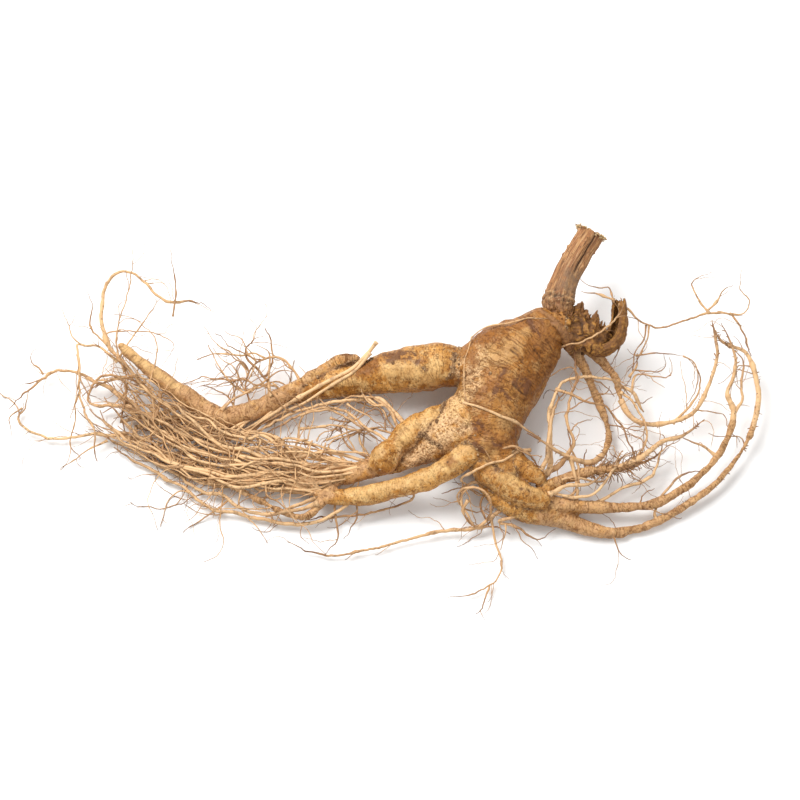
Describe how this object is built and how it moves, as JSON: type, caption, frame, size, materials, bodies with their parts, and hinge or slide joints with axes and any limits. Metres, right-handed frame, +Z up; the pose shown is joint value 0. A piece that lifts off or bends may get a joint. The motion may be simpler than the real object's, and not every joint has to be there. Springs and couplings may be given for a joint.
{
  "type": "ginseng root",
  "caption": "Fresh ginseng root lying on its belly, with trunk, forked legs, long arm, neck, trailing rootlets and a dead stalk.",
  "frame": {"origin": "a point on the flat spot under the trunk's belly, which bears on the surface", "axes": "+X to the right along the root's longest reach, +Y towards the stalk, +Z up"},
  "size_m": [0.3322, 0.1634, 0.0373],
  "materials": {
    "root_skin": "golden tan skin, matt, with brown blotches and soil",
    "dead_stalk": "dry fibrous stalk, matt"
  },
  "bodies": {
    "root": {"ginseng_root": "root_skin", "stalk": "dead_stalk"}
  },
  "joints": []
}
